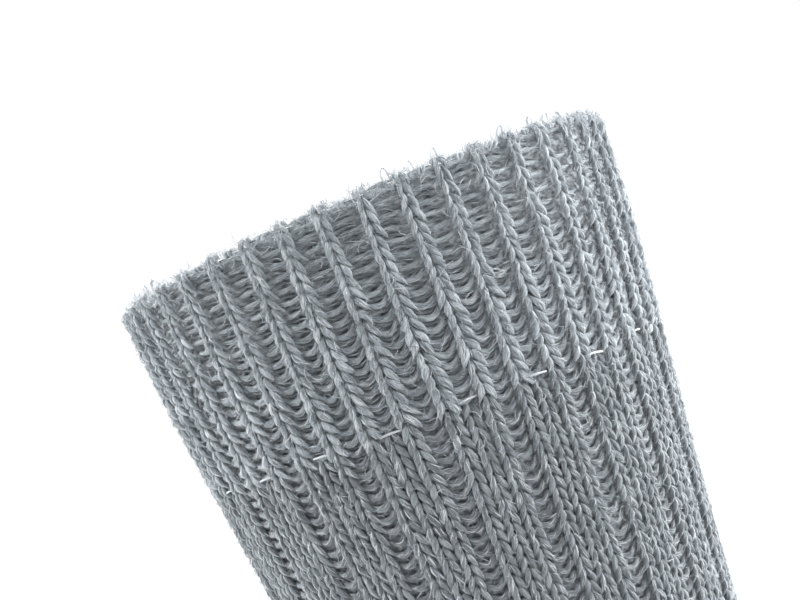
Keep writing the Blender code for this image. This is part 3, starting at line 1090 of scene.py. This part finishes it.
toe_seam = yarn_length("toe_seam", SEAM_PATH, SEAM_WIDTHS)
seam_unit = len(toe_seam.data.vertices)
repeated(toe_seam, 1, 0, SEAM_STITCHES, SEAM_STEP_MM)
seam_number = np.repeat(np.arange(SEAM_STITCHES), seam_unit)
seam_x, seam_down, seam_lift = coordinates(toe_seam).T
seam_x = seam_x - SEAM_STEP_MM * (SEAM_STITCHES - 1) / 2
seam_points = np.column_stack((seam_x * MM, SEAM_Y - seam_lift * MM, SEAM_Z - seam_down * MM))
laid(toe_seam, seam_points, rng.random(SEAM_STITCHES)[seam_number], plain_wool)

# %% [markdown]
# Wool is never smooth: each strand is a bundle of fine hairs, and some lift from it. Blender's own
# hair is lost in the export, so one flat hair is modelled, pointed at both ends, and copied. Most
# copies follow a strand, a little off its surface, so that its edge turns soft.

# %% One hair and its copies
HAIR_HALF_WIDTH = 0.06
HAIR_SPACING = 4.0
TIP_MERGE = 0.01


def hair(name):
    """One flat hair, a single face wide and three long, which is pointed at both ends."""
    bpy.ops.object.select_all(action="DESELECT")
    bpy.ops.mesh.primitive_grid_add(x_subdivisions=1, y_subdivisions=3, size=2)
    piece = bpy.context.object
    piece.name = name
    points = coordinates(piece)
    points[np.abs(points[:, 1]) > 0.9, 0] = 0
    set_coordinates(piece, points)
    bpy.ops.object.mode_set(mode="EDIT")
    bpy.ops.mesh.select_all(action="SELECT")
    bpy.ops.mesh.remove_doubles(threshold=TIP_MERGE)
    bpy.ops.object.mode_set(mode="OBJECT")
    piece.data.uv_layers[0].name = "OFBake"
    return piece


def hairs(name, count, half_width=HAIR_HALF_WIDTH):
    """Copies of the hair, with each point's hair number, its side of the hair and its step along."""
    piece = hair(name)
    unit = len(piece.data.vertices)
    repeated(piece, count, HAIR_SPACING, 1, 0)
    number = np.repeat(np.arange(count), unit)
    points = coordinates(piece)
    return piece, number, points[:, 0] * half_width, points[:, 1] - HAIR_SPACING * number


# %% The hairs' wool
HAIR_STOPS = ((0.0, (90, 96, 101)), (0.45, (147, 154, 159)), (1.0, (208, 213, 216)))

hair_finish = Finish("wool hairs")
hair_lot = hair_finish.node("ShaderNodeAttribute", attribute_name="lot")
hair_finish.colour(hair_lot.outputs["Fac"], HAIR_STOPS)
hair_wool = hair_finish.settle({"Roughness": 0.8, "Specular IOR Level": 0.2})

# %% Hairs along the strands
STRAND_ENDS = (0.05, 0.95)
STRAND_HAIR_MM = (1.3, 3.0)
TURN_ENDS = (0.12, 0.88)
WIND_SPREAD = 0.30
LIFT_SPREAD = 0.11
CLEARANCE = 0.015
TANGENT_STEP = 0.02


def strand_hairs(name, count, stretch, strands):
    """Hairs that follow a stretch's strands. strands lists each one's points and half widths."""
    piece, number, edge, step = hairs(name, count)
    stitch = rng.integers(stretch.copies, size=count)
    strand = rng.integers(len(strands), size=count)
    start = rng.uniform(*STRAND_ENDS, count)
    half = rng.uniform(*STRAND_HAIR_MM, count) / 2
    turn = rng.uniform(*TURN_ENDS, count) * math.pi
    wind = rng.normal(0, WIND_SPREAD, count)
    lift = np.abs(rng.normal(0, LIFT_SPREAD, count))
    axis, step_off = np.empty((len(number), 3)), np.empty((len(number), 3))
    for which, (path, widths) in enumerate(strands):
        mine = strand[number] == which
        path = np.array(path)
        knots = np.linspace(0, 1, len(path))
        length = np.linalg.norm(np.diff(path, axis=0), axis=1).sum()

        def on_path(t):
            return np.column_stack([np.interp(t, knots, path[:, k]) for k in range(3)])

        mine_number = number[mine]
        t = start[mine_number] + step[mine] * half[mine_number] / length
        inside = np.clip(t, TANGENT_STEP, 1 - TANGENT_STEP)
        tangent = on_path(inside + TANGENT_STEP) - on_path(inside - TANGENT_STEP)
        tangent /= np.linalg.norm(tangent, axis=1)[:, None]
        across = np.column_stack((tangent[:, 1], -tangent[:, 0], 0 * t))
        across /= np.linalg.norm(across, axis=1)[:, None]
        angle = (turn[mine_number] + wind[mine_number] * step[mine])[:, None]
        out = np.cos(angle) * across + np.sin(angle) * (0, 0, 1)
        flat = np.sin(angle) * across - np.cos(angle) * (0, 0, 1)
        raised = lift[mine_number] * (1 + step[mine]) ** 2
        height = np.interp(inside, knots, widths) + CLEARANCE + raised
        axis[mine] = on_path(inside) + ((t - inside) * length)[:, None] * tangent * (1, 1, 0)
        step_off[mine] = height[:, None] * out + edge[mine][:, None] * flat
    points = stretch.carry(stitch[number], axis, step_off)
    return laid(piece, points, rng.random(count)[number], hair_wool)


# %% The hairs of the cuff and the leg
CORD_HAIRS, TROUGH_HAIRS, LEAF_HAIRS, LEG_TROUGH_HAIRS = 19000, 15500, 7100, 5500
cord_strands = [(path, ROPE_WIDTHS) for path in ROPE_PATHS]
cord_hairs = strand_hairs("cord_hairs", CORD_HAIRS, cord_stretch, cord_strands)
trough_strands = 3 * [(ARC_PATHS[0], ARC_WIDTHS)] + [(ARC_PATHS[1], FEET_WIDTHS)]
trough_hairs = strand_hairs("trough_hairs", TROUGH_HAIRS, trough_stretch, trough_strands)
leaf_paths = v_paths(SIX, LEG_COURSE_MM, LEG_WALE_MM)
leaf_strands = [(path, LEAF_WIDTHS) for path in leaf_paths]
leaf_hairs = [strand_hairs(f"leaf_hairs_{label}", LEAF_HAIRS, stretch, leaf_strands)
              for label, stretch in zip(WALE_LABELS, leg_stretches)]
groove_strands = [(LEG_ARC_PATH, LEG_ARC_WIDTHS)]
leg_trough_hairs = strand_hairs("leg_trough_hairs", LEG_TROUGH_HAIRS, leg_trough, groove_strands)

# %% [markdown]
# The rest of the hairs lie loose across the loops, and a fine fuzz stands along every edge. A hair
# over a purl wale lies across it, as its yarn does, and a little lower. Each row of the table gives
# how many, the chart and its courses, their lengths and heights, how far they lift and how far they
# turn, and their half width. The rim has most, as the light shows them where the knitting turns.

# %% Loose hairs
MEAN_WALE_MM = math.tau * 42 / WALES
HAIR_CURL = 0.45
PURL_SINK = 0.75
LOOSE_HALF_WIDTH, FUZZ_HALF_WIDTH, RIM_HALF_WIDTH = 0.045, 0.028, 0.03
LOOSE_HAIRS = {
    "cuff_hairs": (2600, cuff_chart, (-0.6, CUFF_COURSES), (1.5, 3.6), (-0.1, 0.35),
                   0.22, 0.6, LOOSE_HALF_WIDTH),
    "leg_hairs": (1800, leg_chart, (0, UPPER_COURSES), (1.5, 3.2), (-0.1, 0.3),
                  0.20, 0.6, LOOSE_HALF_WIDTH),
    "cuff_halo": (4500, cuff_chart, (-0.6, CUFF_COURSES), (0.7, 1.8), (-0.2, 0.15),
                  0.6, 1.2, FUZZ_HALF_WIDTH),
    "leg_halo": (4000, leg_chart, (0, UPPER_COURSES), (0.7, 1.8), (-0.2, 0.15),
                 0.6, 1.2, FUZZ_HALF_WIDTH),
    "rim_hairs": (5600, cuff_chart, (-1.6, 0.4), (0.7, 2.3), (-0.1, 0.25),
                  0.55, 1.2, RIM_HALF_WIDTH),
}


def over_purl(chart, wale):
    """Whether a place lies over a purl wale of the cuff or of the leg."""
    if chart is cuff_chart:
        return np.abs(np.mod(wale, 2) - 1) > 0.5
    return np.abs(np.mod(wale, 4) - 2) < 0.55


def loose_hairs(name, count, chart, courses, lengths, heights, lift, spread, half_width):
    """Hairs strewn over courses of a chart. Lengths and heights over the skin are in millimetres."""
    piece, number, edge, step = hairs(name, count, half_width)
    half = rng.uniform(*lengths, count)[number] / 2
    wale_here = rng.uniform(0, WALES, count)
    across = over_purl(chart, wale_here)
    heading = (rng.normal(0, spread, count) + np.where(across, math.pi / 2, 0))[number]
    curl = rng.normal(0, HAIR_CURL, count)[number] * half
    rise = np.abs(rng.normal(0, lift, count))[number] * half
    lean = rng.normal(0, lift, count)[number] * half
    x = half * step * np.sin(heading) + (curl * step**2 + edge) * np.cos(heading)
    y = half * step * np.cos(heading) - (curl * step**2 + edge) * np.sin(heading)
    base = rng.uniform(*heights, count) - PURL_SINK * across
    z = base[number] + rise * step**2 + lean * step
    wale = wale_here[number] + x / MEAN_WALE_MM
    course = rng.uniform(*courses, count)[number] + y / (chart.course / MM)
    return laid(piece, place(chart, wale, course, z * MM), rng.random(count)[number], hair_wool)


loose = {name: loose_hairs(name, *values) for name, values in LOOSE_HAIRS.items()}

# %% [markdown]
# A few accidents make the knitting real. Where the rib changes, a loose strand lies straight across
# each new wale. At the rim some tiny loops of the first course stand up, with the rounded heads of
# the cords between them, and one end of yarn was left by the change as a small pale curl.

# %% Scattered pieces
FINE_WALE_MM = 3.5
SCATTER_SPACING = 50.0


def scattered(piece, chart, spots, material):
    """Copies of a piece at spots of the chart: wale, course, a turn, and a size."""
    unit = len(piece.data.vertices)
    repeated(piece, len(spots), SCATTER_SPACING, 1, 0)
    copy = np.repeat(np.arange(len(spots)), unit)
    points = coordinates(piece) - np.column_stack((0 * copy, SCATTER_SPACING * copy, 0 * copy))
    wale, course, turn, size = np.array(spots).T[:, copy]
    x = size * (points[:, 0] * np.cos(turn) - points[:, 1] * np.sin(turn))
    y = size * (points[:, 0] * np.sin(turn) + points[:, 1] * np.cos(turn))
    wale, course = wale + x / FINE_WALE_MM, course + y / (chart.course / MM)
    lots = rng.random(len(spots))[copy]
    return laid(piece, place(chart, wale, course, size * points[:, 2] * MM), lots, material)


def spots_on(wales, wale_spread, course, course_spread, turn_spread, sizes):
    """A spot on each of the wales, near one course, and each a little off."""
    return [(wale + rng.normal(0, wale_spread), rng.normal(course, course_spread),
             rng.normal(0, turn_spread), rng.uniform(*sizes)) for wale in wales]


# %% Strands at the change
PALE_MARL = ((150, 156, 160), (205, 209, 212), (245, 247, 248))
FLOAT_PATH = ((-2.3, 0.1, -1.5), (-1.8, 0.0, -0.45), (0.0, -0.12, -0.3), (1.8, 0.0, -0.45),
              (2.3, 0.1, -1.5))
FLOAT_WIDTHS = (0.05, 0.17, 0.2, 0.17, 0.05)

pale_wool = wool("pale marl wool", colours=PALE_MARL)
float_spots = spots_on(range(0, WALES, 4), 0.1, -0.1, 0.15, 0.08, (0.85, 1.1))
change_strands = scattered(
    yarn_length("change_strands", FLOAT_PATH, FLOAT_WIDTHS), leg_chart, float_spots, pale_wool)

# %% Loops and knobs on the rim
LOOP_PATH = ((-0.55, 0, -1.0), (-0.62, 0, 0.3), (-0.5, 0.1, 1.1), (0, 0.15, 1.6), (0.5, 0.1, 1.1),
             (0.6, 0, 0.3), (0.5, 0, -1.0))
LOOP_WIDTHS = (0.05, 0.2, 0.2, 0.2, 0.2, 0.2, 0.05)
LOOP_WALES = (0.4, 1.7, 2.9)
MORE_LOOPS = 22
KNOB_PATHS = (
    ((-0.15, -1.7, -1.5), (-0.38, -1.0, -0.75), (-0.46, -0.1, -0.62), (-0.34, 0.8, -0.85),
     (-0.1, 1.5, -1.6)),
    ((0.20, -1.5, -1.5), (0.44, -0.8, -0.72), (0.48, 0.1, -0.66), (0.36, 0.9, -0.95),
     (0.15, 1.6, -1.6)),
)
KNOB_WIDTHS = (0.02, 0.40, 0.46, 0.38, 0.02)

loop_wales = [*LOOP_WALES, *rng.uniform(4, WALES - 1, MORE_LOOPS)]
loop_spots = [(wale, rng.uniform(-1.4, -0.8), rng.normal(0, 0.5), rng.uniform(0.75, 1.15))
              for wale in loop_wales]
rim_loops = scattered(
    yarn_length("rim_loops", LOOP_PATH, LOOP_WIDTHS), cuff_chart, loop_spots, pale_wool)
knob_spots = spots_on(range(0, WALES, 2), 0.10, -0.35, 0.12, 0.25, (0.85, 1.15))
rim_knobs = scattered(
    stitch_of("rim_knobs", KNOB_PATHS, KNOB_WIDTHS), cuff_chart, knob_spots, ribbed_wool)

# %% The curl of yarn
CURL_POINTS = 13
CURL_RADIUS, CURL_TURN, CURL_DRIFT = 0.75, 9.5, 1.2
CURL_FOOT, CURL_RISE, CURL_ARCH = 0.1, 0.9, 3.0
CURL_WIDTHS = (0.05, *[0.24] * 11, 0.05)
CURL_SPOT = (13.2, 0.1, 0.3, 0.7)

curl_path = []
for t in np.linspace(0, 1, CURL_POINTS):
    radius = CURL_RADIUS * (1 - 0.5 * t)
    curl_path.append((
        radius * math.cos(CURL_TURN * t),
        radius * math.sin(CURL_TURN * t) + CURL_DRIFT * t * t,
        CURL_FOOT + CURL_RISE * math.sin(CURL_ARCH * t),
    ))
yarn_curl = scattered(
    yarn_length("yarn_curl", curl_path, CURL_WIDTHS), leg_chart, [CURL_SPOT], pale_wool)
print("triangles of yarn and hair", sum(TRIANGLES.values()))

# %% [markdown]
# Each piece is tied to the part: it rides on the sock's one body, and the cloths stand in for the CAD
# solids, which are hidden. The table also gives each cloth's slot, which is not used, and the size
# of its flat knitted tube, which is only printed.

# %% Tying the pieces to the part
SHEETS = (
    ("rib_wool", "cuff", cuff_cloth, (0.30, 0.040),
     [cuff_knit, cuff_purl, cord_hairs, trough_hairs, loose["cuff_hairs"], loose["cuff_halo"],
      loose["rim_hairs"], rim_loops, rim_knobs]),
    ("rib_wool", "leg", leg_cloth, (0.25, 0.120),
     leg_knit + lower_knit + leaf_hairs
     + [leg_purl, shin_purl, leg_trough_hairs, loose["leg_hairs"], loose["leg_halo"],
        change_strands, yarn_curl]),
    ("plain_wool", "heel", heel_cloth, (0.120, 0.125), [heel_knit]),
    ("plain_wool", "instep", instep_cloth, (0.120, 0.160), [instep_knit]),
    ("plain_wool", "sole", sole_cloth, (0.125, 0.130), [sole_knit]),
    ("plain_wool", "toe", toe_cloth, (0.240, 0.045), [toe_knit, toe_seam]),
)
for slot_name, cad_node, sheet_piece, flat_size, loops in SHEETS:
    for piece in [sheet_piece] + loops:
        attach(piece, "root")
    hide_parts(cad_node)
    print(f"{cad_node}: {len(loops)} pieces on its cloth, {flat_size[0]} x {flat_size[1]} m when flat")
